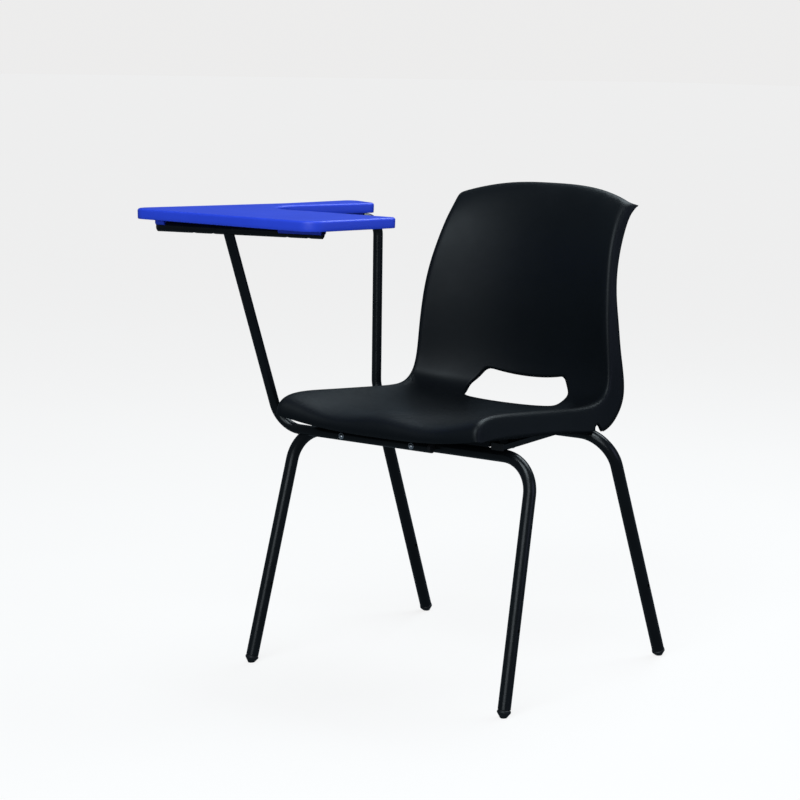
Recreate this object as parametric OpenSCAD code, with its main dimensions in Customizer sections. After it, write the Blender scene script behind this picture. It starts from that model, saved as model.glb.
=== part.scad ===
/* Student desk chair: a one-piece plastic shell on a four-leg tube frame, with a writing board
   on a tube arm at the sitter's right.
   The sitter looks along -Y and +Z is up. Inside the modules x = 0 is the middle of the seat.
   placed() then moves everything so that the origin is at the middle of the base. */

/* [Leg frame] */
// Outer diameter of the leg tube
leg_d = 22; // [19:0.5:25]
// Wall thickness of every tube
tube_wall = 1.5; // [1:0.1:2]
// Bend radius of the leg tube, on its centre line
leg_bend_r = 62; // [45:1:80]
// Height of the front cross tube, on its centre line
front_rail_z = 414; // [380:1:430]
// Height of the rear cross tube, on its centre line
rear_rail_z = 424; // [390:1:440]
// Distance from the middle of the seat forward to the front cross tube
front_rail_y = 143; // [120:1:160]
// Distance from the middle of the seat back to the rear cross tube
rear_rail_y = 92; // [80:1:105]
// Half of the straight length of the front cross tube
front_rail_half = 193; // [170:1:200]
// Half of the straight length of the rear cross tube
rear_rail_half = 192; // [170:1:200]
// Sideways splay of the front legs, in degrees
front_splay = 2.8; // [0:0.1:6]
// Sideways splay of the rear legs, in degrees
rear_splay = 1.2; // [0:0.1:6]
// Forward lean of the front legs, in degrees
front_lean = 14.2; // [5:0.1:20]
// Backward lean of the rear legs, in degrees
rear_lean = 22.2; // [10:0.1:28]
// Height of the basket fixing holes in the legs
basket_hole_z = 140; // [100:1:180]
// Diameter of the basket fixing holes
basket_hole_d = 6.5; // [4:0.5:8]

/* [Writing arm] */
// Outer diameter of the arm tube
arm_d = 18; // [16:0.5:20]
// Distance from the middle of the seat out to the arm's uprights
arm_x = 275; // [268:1:285]
// Height of the top of the writing board
board_top_z = 802; // [780:1:820]
// Height of the board's rim
board_rim_h = 18; // [16:1:24]
// Distance from the middle of the seat forward to the board's front edge
board_front_y = 345; // [330:1:360]

/* [Shell] */
// Thickness of the moulded shell
shell_t = 4.5; // [3:0.5:6]
// Columns of facets across one half of the seat
shell_cols = 9; // [6:1:14]
// Rows of facets between two neighbouring stations of the shell
shell_rows = 2; // [1:1:3]

/* [Hidden] */
$fn = 48;

leg_r = leg_d / 2;
arm_r = arm_d / 2;
arm_front_y = -(front_rail_y + leg_r + arm_r);
arm_rear_y = rear_rail_y + leg_r + arm_r;
play = 0.05;

// ---- vectors ----
function unit(v) = v / norm(v);
function side_x(s, p) = [s * p[0], p[1], p[2]];
function lerp(a, b, t) = a + (b - a) * t;
// Angle between the two legs of the corner at b
function corner_angle(a, b, c) = acos(unit(a - b) * unit(c - b));
// Distance from the corner at b to where its bend starts
function setback(a, b, c, r) = r / tan(corner_angle(a, b, c) / 2);
function path_setback(p, radii, i) =
    i == 0 || i == len(p) - 1 ? 0 : setback(p[i - 1], p[i], p[i + 1], radii[i - 1]);

// ---- tubes ----
// Places its children with +Z running from a towards b
module along(a, b) {
    d = b - a;
    translate(a) rotate([0, acos(d[2] / norm(d)), atan2(d[1], d[0])]) children();
}

module ring(r, wall) {
    difference() {
        circle(r);
        if (wall > 0) circle(r - wall);
    }
}

// A straight length of tube from a to b, solid when wall is 0
module straight(a, b, r, wall = 0) {
    along(a, b) linear_extrude(norm(b - a)) ring(r, wall);
}

// The bend that rounds the corner at b of the route a, b, c
module bend(a, b, c, bend_r, r, wall) {
    angle = corner_angle(a, b, c);
    to_a = unit(a - b);
    to_c = unit(c - b);
    start = b + to_a * setback(a, b, c, bend_r);
    centre = b + unit(to_a + to_c) * bend_r / sin(angle / 2);
    ax = unit(start - centre);
    ay = -to_a;
    az = cross(ax, ay);
    multmatrix([[ax[0], ay[0], az[0], centre[0]],
                [ax[1], ay[1], az[1], centre[1]],
                [ax[2], ay[2], az[2], centre[2]],
                [0, 0, 0, 1]])
        rotate_extrude(angle = 180 - angle) translate([bend_r, 0]) ring(r, wall);
}

// A band a hair thicker than a tube's wall, centred on z = 0, that makes two lengths one
module joint_band(r) {
    linear_extrude(0.5, center = true) ring(r + play, tube_wall + 2 * play);
}

// A tube that follows the route p; each inner corner is bent to its own radius
module bent_tube(p, radii, r, wall) {
    for (i = [0 : len(p) - 2]) {
        d = unit(p[i + 1] - p[i]);
        start = p[i] + d * path_setback(p, radii, i);
        end = p[i + 1] - d * path_setback(p, radii, i + 1);
        straight(start, end, r, wall);
        if (i > 0) along(start, end) joint_band(r);
        if (i < len(p) - 2) along(end, start) joint_band(r);
    }
    for (i = [1 : len(p) - 2]) bend(p[i - 1], p[i], p[i + 1], radii[i - 1], r, wall);
}

// ---- leg frames ----
glide_h = 13;         // height of the glide under the tube's end
glide_r = leg_r + 0.6;
glide_foot_r = 5.5;   // where the tapered end meets the floor
glide_taper = 8.5;

// Each frame: [y and z of its cross tube, how far each leg splays sideways, how far it leans back]
front_legs = [-front_rail_y, front_rail_z, front_splay, -front_lean, front_rail_half];
rear_legs = [rear_rail_y, rear_rail_z, rear_splay, rear_lean, rear_rail_half];

// The point of the left leg's centre line at distance t below its bend
function leg_point(f, t) = let (
    turn = 90 - f[2],
    x = f[4] + leg_bend_r * sin(turn) + t * cos(turn),
    drop = leg_bend_r * (1 - cos(turn)) + t * sin(turn))
    [x, f[0] + drop * sin(f[3]), f[1] - drop * cos(f[3])];
// The distance below the bend at which the leg is at height z
function leg_reach(f, z) = ((f[1] - z) / cos(f[3]) - leg_bend_r * (1 - sin(f[2]))) / cos(f[2]);
function foot_point(f) = leg_point(f, leg_reach(f, 0));

// A U of tube that is bent in one plane, which then leans about the cross tube
module leg_tube(f) {
    turn = 90 - f[2];
    leg_len = floor(leg_reach(f, 0) - glide_h);
    translate([0, f[0], f[1]]) rotate([f[3], 0, 0]) {
        translate([-f[4], 0, 0]) rotate([0, 90, 0]) linear_extrude(2 * f[4]) ring(leg_r, tube_wall);
        for (m = [0, 1]) mirror([m, 0, 0]) {
            translate([f[4], 0, 0]) rotate([0, 90, 0]) joint_band(leg_r);
            translate([f[4], 0, -leg_bend_r]) rotate([0, -f[2], 0]) {
                rotate([90, 0, 0]) rotate_extrude(angle = turn)
                    translate([leg_bend_r, 0]) ring(leg_r, tube_wall);
                translate([leg_bend_r, 0, 0]) joint_band(leg_r);
                translate([leg_bend_r, 0, -leg_len]) linear_extrude(leg_len) ring(leg_r, tube_wall);
            }
        }
    }
}

module leg_frame(f) {
    difference() {
        leg_tube(f);
        for (s = [-1, 1]) translate(side_x(s, leg_point(f, leg_reach(f, basket_hole_z))))
            rotate([0, 90, 0]) cylinder(h = 4 * leg_r, d = basket_hole_d, center = true);
        for (x = arm_bolt_x) translate([x, f[0], f[1]])
            rotate([90, 0, 0]) cylinder(h = 4 * leg_r, d = arm_bolt_hole_d, center = true);
    }
}

// A glide: a tapered foot under the tube with a plug that fills the tube's end, cut flat at the floor
module glide(f, s) {
    foot = side_x(s, foot_point(f));
    stem_r = leg_r - tube_wall - play;
    stem_h = 22;
    chamfer = 1.5;
    room = 100;
    below = 6;
    intersection() {
        along(foot, side_x(s, leg_point(f, 0))) rotate([0, 0, 90]) rotate_extrude() polygon([
            [0, -below], [glide_foot_r - below * (glide_r - glide_foot_r) / glide_taper, -below],
            [glide_r, glide_taper], [glide_r, glide_h - chamfer],
            [glide_r - chamfer, glide_h], [stem_r, glide_h], [stem_r, glide_h + stem_h - chamfer],
            [stem_r - chamfer, glide_h + stem_h], [0, glide_h + stem_h]]);
        translate([foot[0], foot[1], room / 2]) cube(room, center = true);
    }
}

// ---- seat rails ----
rail_w = 25;
rail_h = 12;
rail_x = 188;
rail_overhang = 12;   // how far a seat rail runs past each cross tube
rail_slope = atan((rear_rail_z - front_rail_z) / (rear_rail_y + front_rail_y));
rail_len = norm([rear_rail_y + front_rail_y, rear_rail_z - front_rail_z]) + 2 * rail_overhang;
seat_screw_d = 5;

// Places its children in the frame of a seat rail: +Y runs back along it, z = 0 is its underside
module on_rail(s) {
    translate([s * rail_x, -front_rail_y, front_rail_z]) rotate([rail_slope, 0, 0])
        translate([0, -rail_overhang, leg_r]) children();
}

// A point of the chair in that frame, as [distance along the rail, height above its underside]
function rail_place(p) = let (
    y = p[1] + front_rail_y, z = p[2] - front_rail_z, c = cos(rail_slope), s = sin(rail_slope))
    [y * c + z * s + rail_overhang, z * c - y * s - leg_r];

module rail_section(w, h, r) {
    translate([r - w / 2, r]) square([w - 2 * r, h - 2 * r]);
    translate([-w / 2, r]) square([w, h - 2 * r]);
    translate([r - w / 2, 0]) square([w - 2 * r, h]);
    for (x = [r - w / 2, w / 2 - r], y = [r, h - r]) translate([x, y]) circle(r);
}

module seat_rail(s) {
    corner_r = 2.5;
    on_rail(s) difference() {
        translate([0, rail_len, 0]) rotate([90, 0, 0]) linear_extrude(rail_len) difference() {
            rail_section(rail_w, rail_h, corner_r);
            translate([0, tube_wall])
                rail_section(rail_w - 2 * tube_wall, rail_h - 2 * tube_wall, corner_r - tube_wall);
        }
        for (p = boss_places)
            translate([0, p[0], -1]) cylinder(h = rail_h + 2, d = seat_screw_d + 0.5);
    }
}

module rail_plug() {
    stem = 10;
    cap = 2;
    fit_w = rail_w - 2 * tube_wall - 2 * play;
    fit_h = rail_h - 2 * tube_wall - 2 * play;
    translate([-rail_w / 2, -cap, 0]) cube([rail_w, cap, rail_h]);
    translate([-fit_w / 2, 0, tube_wall + play]) cube([fit_w, stem, fit_h]);
}

// ---- shell ----
// The shell is set by stations that run from the front lip over the seat and up the back.
// centre: [y, z] of the middle line.
// ridge: [x, y, z] of the rounded edge at the left side.
// hem: [x, y, z] of the free edge of the side band, outside the ridge.
// bow: how squarely the surface rises from the middle line to the ridge.
// thigh_dip: how deep the seat dips under each thigh, at the first stations.
centre = [[-238, 434], [-246, 443], [-245, 458], [-228, 471], [-187, 472], [-122, 463],
          [-50, 455], [30, 448], [98, 445], [146, 447], [181, 457], [203, 476],
          [212, 502], [215, 535], [214, 575], [213, 620], [215, 665], [221, 710],
          [232, 755], [243, 795], [254, 825], [268, 842], [280, 843], [286, 837]];
ridge = [[214, -255, 453], [213, -257, 465], [211, -246, 477], [207, -220, 487], [206, -178, 490],
         [205, -114, 487], [205, -40, 482], [206, 25, 477], [208, 72, 474], [211, 104, 475],
         [214, 128, 483], [214, 141, 497], [212, 146, 517], [209, 147, 543], [206, 147, 579],
         [202, 149, 620], [198, 155, 662], [193, 166, 705], [188, 182, 745], [185, 202, 779],
         [183, 221, 801], [183, 232, 813], [183, 241, 817], [184, 248, 817]];
hem = [[217, -243, 452], [218, -229, 451], [219, -210, 450], [218, -186, 448], [217, -154, 446],
       [217, -107, 443], [218, -45, 439], [219, 20, 432], [221, 66, 425], [222, 102, 421],
       [223, 138, 426], [224, 167, 449], [224, 185, 478], [223, 183, 517], [218, 177, 563],
       [214, 176, 611], [208, 175, 655], [201, 186, 698], [195, 205, 737], [191, 226, 771],
       [190, 241, 792], [192, 250, 802], [194, 257, 808], [195, 263, 812]];
seat_bow = 2.6;
back_bow = 2;
crest_bow = 2.8;
thigh_dip = [0, 2, 6, 9, 9, 5, 1];
edge_r = 9;           // how far the rounding of the ridge reaches to each side of it
band_cols = 2;
last = len(centre) - 1;

// Stations made into one row of ten numbers each, with the ends carried on in a straight line
function share(i, from, to) = min(1, max(0, (i - from) / (to - from)));
stations = [for (i = [0 : last])
    concat(centre[i], ridge[i], hem[i],
           lerp(lerp(seat_bow, back_bow, share(i, 8, 12)), crest_bow, share(i, 18, 22)),
           i < len(thigh_dip) ? thigh_dip[i] : 0)];
ends = concat([2 * stations[0] - stations[1]], stations, [2 * stations[last] - stations[last - 1]]);

// The row at place t along the stations, on a uniform cubic B-spline
function blend(a, b, c, d, f) = (pow(1 - f, 3) * a + (3 * pow(f, 3) - 6 * f * f + 4) * b
    + (-3 * pow(f, 3) + 3 * f * f + 3 * f + 1) * c + pow(f, 3) * d) / 6;
function station(t) = let (i = min(last - 1, floor(t)))
    blend(ends[i], ends[i + 1], ends[i + 2], ends[i + 3], t - i);

// The point of the shell's face at v, which is 0 in the middle, 1 at the ridge and 2 at the hem
function face_point(row, v) = let (
    s = v < 0 ? -1 : 1, a = min(1, abs(v)), w = abs(v) - a, f = pow(a, row[8]),
    dip = row[9] * (1 - cos(360 * a)) / 2,
    face = [row[2] * a, lerp(row[0], row[3], f), lerp(row[1], row[4], f) - dip],
    drop = [row[5] - row[2], row[6] - row[3], row[7] - row[4]] * w)
    side_x(s, face + drop);

// One row of the grid: points from the middle line out over the rounded ridge to the hem
function half_row(row) = let (
    band = norm([row[5] - row[2], row[6] - row[3], row[7] - row[4]]),
    v_in = 1 - edge_r / row[2], v_out = 1 + min(0.5, edge_r / band),
    p_in = face_point(row, v_in), p_out = face_point(row, v_out))
    concat([for (i = [1 : shell_cols]) face_point(row, v_in * i / shell_cols)],
           [(p_in + 2 * face_point(row, 1) + p_out) / 4],
           [for (j = [0 : band_cols]) face_point(row, lerp(v_out, 2, j / band_cols))]);
function full_row(row) = let (h = half_row(row))
    concat([for (i = [len(h) - 1 : -1 : 0]) side_x(-1, h[i])], [face_point(row, 0)], h);

shell_face = [for (i = [0 : last * shell_rows]) full_row(station(i / shell_rows))];
row_len = len(shell_face[0]);
function grid_at(g, i, j) = g[min(len(g) - 1, max(0, i))][min(len(g[0]) - 1, max(0, j))];
function face_normal(g, i, j) = unit(cross(grid_at(g, i + 1, j) - grid_at(g, i - 1, j),
                                           grid_at(g, i, j + 1) - grid_at(g, i, j - 1)));
shell_under = [for (i = [0 : len(shell_face) - 1]) [for (j = [0 : row_len - 1])
    shell_face[i][j] + face_normal(shell_face, i, j) * shell_t]];

// The two quads' worth of triangles between four corners
function two_triangles(a, b, c, d) = [[a, c, b], [a, d, c]];

module shell_skin() {
    n = row_len;
    m = len(shell_face);
    under = n * m;
    points = concat([for (r = shell_face) each r], [for (r = shell_under) each r]);
    faces = concat(
        [for (i = [0 : m - 2], j = [0 : n - 2]) let (k = i * n + j)
            each two_triangles(k, k + 1, k + n + 1, k + n)],
        [for (i = [0 : m - 2], j = [0 : n - 2]) let (k = under + i * n + j)
            each two_triangles(k + n, k + n + 1, k + 1, k)],
        [for (i = [0 : m - 2], j = [0, n - 1]) let (k = i * n + j, l = k + n)
            each j == 0 ? two_triangles(k, l, l + under, k + under)
                        : two_triangles(l, k, k + under, l + under)],
        [for (j = [0 : n - 2], i = [0, m - 1]) let (k = i * n + j, l = k + 1)
            each i == 0 ? two_triangles(l, k, k + under, l + under)
                        : two_triangles(k, l, l + under, k + under)]);
    polyhedron(points, faces, convexity = 8);
}

// ---- handle opening, between the seat and the back ----
handle_y = 156;
handle_z = 449;
handle_tilt = 41;
handle_corners = [[-100, -3], [100, -3], [107, 32], [84, 66], [-84, 66], [-107, 32]];
handle_radii = [13, 13, 20, 19, 19, 20];

// ---- rounded outlines ----
// Outline of a polygon moved inwards by inset, with each corner rounded to its own radius
function inward(a, b) = let (d = unit(b - a)) [-d[1], d[0]];
function moved_corner(a, b, c, inset) = let (
    n1 = inward(a, b), n2 = inward(b, c)) b + (n1 + n2) * inset / (1 + n1 * n2);
function turn(a, b, c) = let (d = b - a, e = c - b) atan2(d[0] * e[1] - d[1] * e[0], d * e);
function corner_arc(a, b, c, r, steps) = let (
    bow = turn(a, b, c), n1 = inward(a, b), s = bow < 0 ? -1 : 1,
    centre = b + unit(a - b) * r * tan(abs(bow) / 2) + n1 * r * s,
    from = atan2(-n1[1] * s, -n1[0] * s))
    [for (k = [0 : steps]) centre + r * [cos(from + bow * k / steps), sin(from + bow * k / steps)]];
function rounded(p, radii, inset = 0, steps = 8) = let (n = len(p),
    q = [for (i = [0 : n - 1]) moved_corner(p[(i + n - 1) % n], p[i], p[(i + 1) % n], inset)])
    [for (i = [0 : n - 1])
        let (a = q[(i + n - 1) % n], b = q[i], c = q[(i + 1) % n], s = turn(a, b, c) < 0 ? -1 : 1)
        each corner_arc(a, b, c, max(1, radii[i] - s * inset), steps)];

module handle_opening() {
    translate([0, handle_y, handle_z]) rotate([handle_tilt, 0, 0]) translate([0, 0, -40])
        linear_extrude(80) polygon(rounded(handle_corners, handle_radii));
}

// The small arched gap between the seat's side band and the back's side band
notch_y = 104;
notch_z = 438;
module side_notches() {
    notch_r = 7;
    for (s = [-1, 1]) translate([s * rail_x * 1.13, notch_y, notch_z - notch_r])
        rotate([0, 90, 0]) {
            cylinder(h = 30, r = notch_r, center = true);
            linear_extrude(30, center = true)
                polygon([[0, -notch_r], [0, notch_r], [40, notch_r + 24], [40, -notch_r - 1]]);
        }
}

// ---- bosses that carry the shell on the seat rails ----
boss_r = 8;
boss_stations = [5, 8];
// The middle of the shell's wall above a seat rail, at one of those stations
function boss_top(t) = let (row = station(t))
    face_point(row, rail_x / row[2]) - [0, 0, shell_t / 2];
boss_places = [for (t = boss_stations) rail_place(boss_top(t))];

module shell_bosses() {
    for (s = [-1, 1], p = boss_places) on_rail(s) translate([0, p[0], rail_h]) difference() {
        cylinder(h = p[1] - rail_h, r = boss_r);
        translate([0, 0, -1]) cylinder(h = seat_screw_reach + 1, d = seat_screw_d);
    }
}

// Two pads under the front corners of the seat, beside the rails
pad_x = [132, 174];
pad_y = [-160, -128];
pad_z = 428;
module shell_pads() {
    slices = 7;
    w = (pad_x[1] - pad_x[0]) / slices;
    row = station(4.6);
    for (s = [-1, 1], i = [0 : slices - 1]) let (x = pad_x[0] + i * w)
        translate([s * (x + w / 2), (pad_y[0] + pad_y[1]) / 2, pad_z])
            linear_extrude(face_point(row, (x + w / 2) / row[2])[2] - shell_t / 2 - pad_z)
                square([w + play, pad_y[1] - pad_y[0]], center = true);
}

module seat_shell() {
    color([0.03, 0.032, 0.036]) placed() {
        difference() {
            shell_skin();
            handle_opening();
            side_notches();
        }
        shell_bosses();
        shell_pads();
    }
}

// ---- writing board ----
board_z = board_top_z - board_rim_h;
board_plate_t = 4;
board_wall = 3;
board_corners = [[-478, -board_front_y], [-62, -board_front_y], [-15, -165], [-352, -170],
                 [-245, 68], [-325, 100], [-360, -60]];
board_radii = [24, 36, 12, 62, 12, 22, 150];
bar_left = [-420, -322];
bar_right = [-124, -243];
bar_drop = 3;         // how far the arm's tube lies below the board's rim
bar_z = board_z - bar_drop - arm_r;
bar_screw_at = [0.22, 0.34, 0.8, 0.93];
run_screw_at = [0.24, 0.6];
rear_join = 0.11;     // where the rear run meets the crossbar, as a part of its length
boss_d = 13;
board_screw_d = 4;

function bar_point(t) = let (p = lerp(bar_left, bar_right, t)) [p[0], p[1], bar_z];
function run_point(t) = lerp([-arm_x, arm_rear_y, bar_z], bar_point(rear_join), t);
board_screw_spots = concat([for (t = bar_screw_at) bar_point(t)],
                           [for (t = run_screw_at) run_point(t)]);
board_boss_z = bar_z + arm_r / 2;
board_boss_h = board_top_z - board_plate_t + 1 - board_boss_z;

module board_prism(inset, z, h) {
    translate([0, 0, z]) linear_extrude(h) polygon(rounded(board_corners, board_radii, inset));
}

module board_ribs() {
    rib_t = 2;
    rib_h = board_rim_h - board_plate_t;
    intersection() {
        board_prism(board_wall - 1, board_z, rib_h + 1);
        union() {
            for (x = [-430 : 42 : -60])
                translate([x, -400, board_z + 3]) cube([rib_t, 520, rib_h]);
            for (y = [-300 : 45 : 80])
                translate([-500, y, board_z + 3]) cube([500, rib_t, rib_h]);
        }
    }
}

// A block under the board that the arm's tube lies in
module saddle(a, b, w, down) {
    d = unit(b - a);
    translate([a[0], a[1], board_z - down]) rotate([0, 0, atan2(d[1], d[0])])
        translate([0, -w / 2, 0]) cube([norm(b - a), w, down + board_rim_h - board_plate_t + 1]);
}

module writing_board() {
    saddle_w = arm_d + 8;
    color([0.1, 0.2, 0.85]) placed() difference() {
        union() {
            difference() {
                board_prism(0, board_z, board_rim_h);
                board_prism(board_wall, board_z - 1, board_rim_h - board_plate_t + 1);
            }
            board_ribs();
            saddle(bar_point(0.755), bar_point(1.05), saddle_w, 19);
            saddle(bar_point(-0.012), bar_point(0.045), saddle_w, 9);
            saddle(run_point(0.1), run_point(0.3), saddle_w, 14);
            for (p = board_screw_spots) translate([p[0], p[1], board_boss_z])
                cylinder(h = board_boss_h, d = boss_d);
        }
        straight(bar_point(-0.2), bar_point(1.2), arm_r);
        straight(run_point(-0.2), run_point(1), arm_r);
        for (p = board_screw_spots) translate([p[0], p[1], bar_z])
            cylinder(h = arm_r + bar_drop + board_rim_h - board_plate_t - 1, d = board_screw_d);
    }
}

// ---- arm tubes ----
arm_bend_r = 46;
arm_top_bend_r = 32;
arm_end_x = 54;
arm_bolt_x = [-132, 20];
arm_bolt_d = 6;
arm_bolt_hole_d = 6.5;
bar_join = 0.427;     // where the front upright meets the crossbar, as a part of its length
weld_gap = 4;
bar_dir = unit(bar_point(1) - bar_point(0));

// Each upright stops just short of the crossbar's centre line and is cut to its round
front_arm_bend = [-arm_x - 2, arm_front_y, front_rail_z];
front_arm_route = [[arm_end_x, arm_front_y, front_rail_z], front_arm_bend,
                   bar_point(bar_join) + unit(front_arm_bend - bar_point(bar_join)) * weld_gap];
rear_arm_route = [[arm_end_x, arm_rear_y, rear_rail_z], [-arm_x, arm_rear_y, rear_rail_z],
                  run_point(0), run_point(1) - unit(run_point(1) - run_point(0)) * weld_gap];

module arm_bolt_holes(y, z) {
    for (x = arm_bolt_x) translate([x, y, z])
        rotate([90, 0, 0]) cylinder(h = 4 * arm_r, d = arm_bolt_hole_d, center = true);
}

module arm_front_tube() {
    color([0.02, 0.02, 0.022]) placed() difference() {
        bent_tube(front_arm_route, [arm_bend_r], arm_r, tube_wall);
        arm_bolt_holes(arm_front_y, front_rail_z);
        straight(bar_point(0), bar_point(1), arm_r);
    }
}

module arm_rear_tube() {
    color([0.02, 0.02, 0.022]) placed() difference() {
        bent_tube(rear_arm_route, [arm_bend_r, arm_top_bend_r], arm_r, tube_wall);
        arm_bolt_holes(arm_rear_y, rear_rail_z);
        straight(bar_point(0), bar_point(1), arm_r);
        for (t = run_screw_at) translate(run_point(t)) screw_bore();
    }
}

// Through both walls of a tube: a wide hole below for the screw's head, a narrow one above
module screw_bore() {
    cylinder(h = 2 * arm_r, d = board_screw_d + 0.5);
    translate([0, 0, -2 * arm_r]) cylinder(h = 2 * arm_r, d = screw_head_d + 1);
}

module arm_crossbar() {
    color([0.02, 0.02, 0.022]) placed() difference() {
        straight(bar_point(0), bar_point(1), arm_r, tube_wall);
        for (t = bar_screw_at) translate(bar_point(t)) screw_bore();
    }
}

// A cap over the end of a tube, with a plug inside it; p is the tube's end and d points outwards
module tube_plug(p, d, r, cap_h, stem_h) {
    along(p, p + d) {
        cylinder(h = cap_h - 1, r = r);
        translate([0, 0, cap_h - 1]) cylinder(h = 1, r1 = r, r2 = r - 1);
        translate([0, 0, -stem_h]) cylinder(h = stem_h, r = r - tube_wall - play);
    }
}

module arm_tube_plugs() {
    color([0.05, 0.05, 0.05]) placed() {
        tube_plug([arm_end_x, arm_front_y, front_rail_z], [1, 0, 0], arm_r, 5, 12);
        tube_plug([arm_end_x, arm_rear_y, rear_rail_z], [1, 0, 0], arm_r, 5, 12);
    }
}

module crossbar_caps() {
    color([0.05, 0.05, 0.05]) placed() {
        tube_plug(bar_point(0), -bar_dir, arm_r, 4, 10);
        tube_plug(bar_point(1), bar_dir, arm_r, 4, 10);
    }
}

// ---- fasteners ----
screw_head_d = 8;
bolt_head_d = 10;
bolt_head_h = 3.4;
washer_d = 11;
washer_t = 1;
screw_socket = 4.5;
seat_screw_reach = 12;
nut_flats = 10;
nut_h = 5;

// Each arm bolt: [x, y of the tube's outer face, z, direction in which the bolt points along Y]
arm_bolt_spots = concat(
    [for (x = arm_bolt_x) [x, arm_front_y - arm_r, front_rail_z, 1]],
    [for (x = arm_bolt_x) [x, arm_rear_y + arm_r, rear_rail_z, -1]]);
arm_grip = arm_d + leg_d;

// Places its children at an arm bolt, with +Z along the bolt's shank
module at_bolt(b) {
    translate([b[0], b[1], b[2]]) rotate([-90 * b[3], 0, 0]) children();
}

module washer(hole_d) {
    difference() {
        cylinder(h = washer_t, d = washer_d);
        translate([0, 0, -1]) cylinder(h = washer_t + 2, d = hole_d);
    }
}

// A low domed screw head that reaches down from z = 0, with a hexagon socket
module domed_head(d, h, socket) {
    difference() {
        rotate_extrude() intersection() {
            translate([0, -h]) square([d / 2, h]);
            translate([0, (d * d / 4 - h * h) / (2 * h)]) circle((d * d / 4 + h * h) / (2 * h));
        }
        translate([0, 0, -h - 0.1]) cylinder(h = 1.8, d = socket, $fn = 6);
    }
}

module arm_bolts() {
    color([0.8, 0.8, 0.82]) placed() for (b = arm_bolt_spots) at_bolt(b) {
        translate([0, 0, -washer_t]) domed_head(bolt_head_d, bolt_head_h, screw_socket);
        translate([0, 0, -washer_t]) cylinder(h = arm_grip + 2 * washer_t + nut_h + 2, d = arm_bolt_d);
    }
}

module arm_washers() {
    color([0.7, 0.7, 0.72]) placed() for (b = arm_bolt_spots) at_bolt(b)
        for (z = [-washer_t, arm_grip]) translate([0, 0, z]) washer(arm_bolt_hole_d);
}

module arm_nuts() {
    color([0.7, 0.7, 0.72]) placed() for (b = arm_bolt_spots) at_bolt(b)
        translate([0, 0, arm_grip + washer_t]) difference() {
            cylinder(h = nut_h, d = nut_flats / cos(30), $fn = 6);
            translate([0, 0, -1]) cylinder(h = nut_h + 2, d = arm_bolt_d);
        }
}

module board_screws() {
    shank = 12;
    under_wall = arm_r - tube_wall - 0.6;
    color([0.7, 0.7, 0.72]) placed() for (p = board_screw_spots)
        translate([p[0], p[1], bar_z + under_wall]) {
            domed_head(screw_head_d, 2.4, 3);
            cylinder(h = arm_r - under_wall + shank, d = board_screw_d);
        }
}

module seat_screws() {
    color([0.7, 0.7, 0.72]) placed() for (s = [-1, 1], p = boss_places)
        on_rail(s) translate([0, p[0], -washer_t]) {
            domed_head(bolt_head_d, bolt_head_h, screw_socket);
            cylinder(h = washer_t + rail_h + seat_screw_reach, d = seat_screw_d);
        }
}

module seat_washers() {
    color([0.7, 0.7, 0.72]) placed() for (s = [-1, 1], p = boss_places)
        on_rail(s) translate([0, p[0], -washer_t]) washer(seat_screw_d + 0.5);
}

// ---- place in the shared frame ----
board_outline = rounded(board_corners, board_radii);
left_extent = min([for (p = board_outline) p[0]]);
right_extent = leg_point(front_legs, leg_reach(front_legs, 0) - glide_taper)[0]
    + glide_r * cos(front_splay);
back_extent = max([for (r = shell_face) each [for (p = r) p[1]]]);
base_middle = [(left_extent + right_extent) / 2, (back_extent - board_front_y) / 2, 0];

module placed() {
    translate(-base_middle) children();
}

module front_leg_frame() { color([0.02, 0.02, 0.022]) placed() leg_frame(front_legs); }
module rear_leg_frame() { color([0.02, 0.02, 0.022]) placed() leg_frame(rear_legs); }
module left_seat_rail() { color([0.02, 0.02, 0.022]) placed() seat_rail(1); }
module right_seat_rail() { color([0.02, 0.02, 0.022]) placed() seat_rail(-1); }
module seat_rail_plugs() {
    color([0.05, 0.05, 0.05]) placed() for (s = [-1, 1]) on_rail(s) {
        rail_plug();
        translate([0, rail_len, 0]) mirror([0, 1, 0]) rail_plug();
    }
}
module corner_glide(s, f) { color([0.04, 0.04, 0.04]) placed() glide(f, s); }
module front_left_glide() { corner_glide(1, front_legs); }
module front_right_glide() { corner_glide(-1, front_legs); }
module rear_left_glide() { corner_glide(1, rear_legs); }
module rear_right_glide() { corner_glide(-1, rear_legs); }

seat_shell();
front_leg_frame();
rear_leg_frame();
left_seat_rail();
right_seat_rail();
seat_rail_plugs();
seat_screws();
seat_washers();
front_left_glide();
front_right_glide();
rear_left_glide();
rear_right_glide();
arm_front_tube();
arm_rear_tube();
arm_crossbar();
arm_tube_plugs();
crossbar_caps();
arm_bolts();
arm_washers();
arm_nuts();
writing_board();
board_screws();
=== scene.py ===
"""Looks of the student desk chair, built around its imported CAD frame.

Lengths are in metres. The chair's own frame has x = 0 in the middle of the seat, the sitter looks
along -Y and the floor is z = 0; SHIFT takes it to the row frame.
"""

import math  # noqa: E402

import bmesh  # noqa: E402
import bpy  # noqa: E402
import numpy as np  # noqa: E402
from mathutils import Matrix, Vector  # noqa: E402


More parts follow.
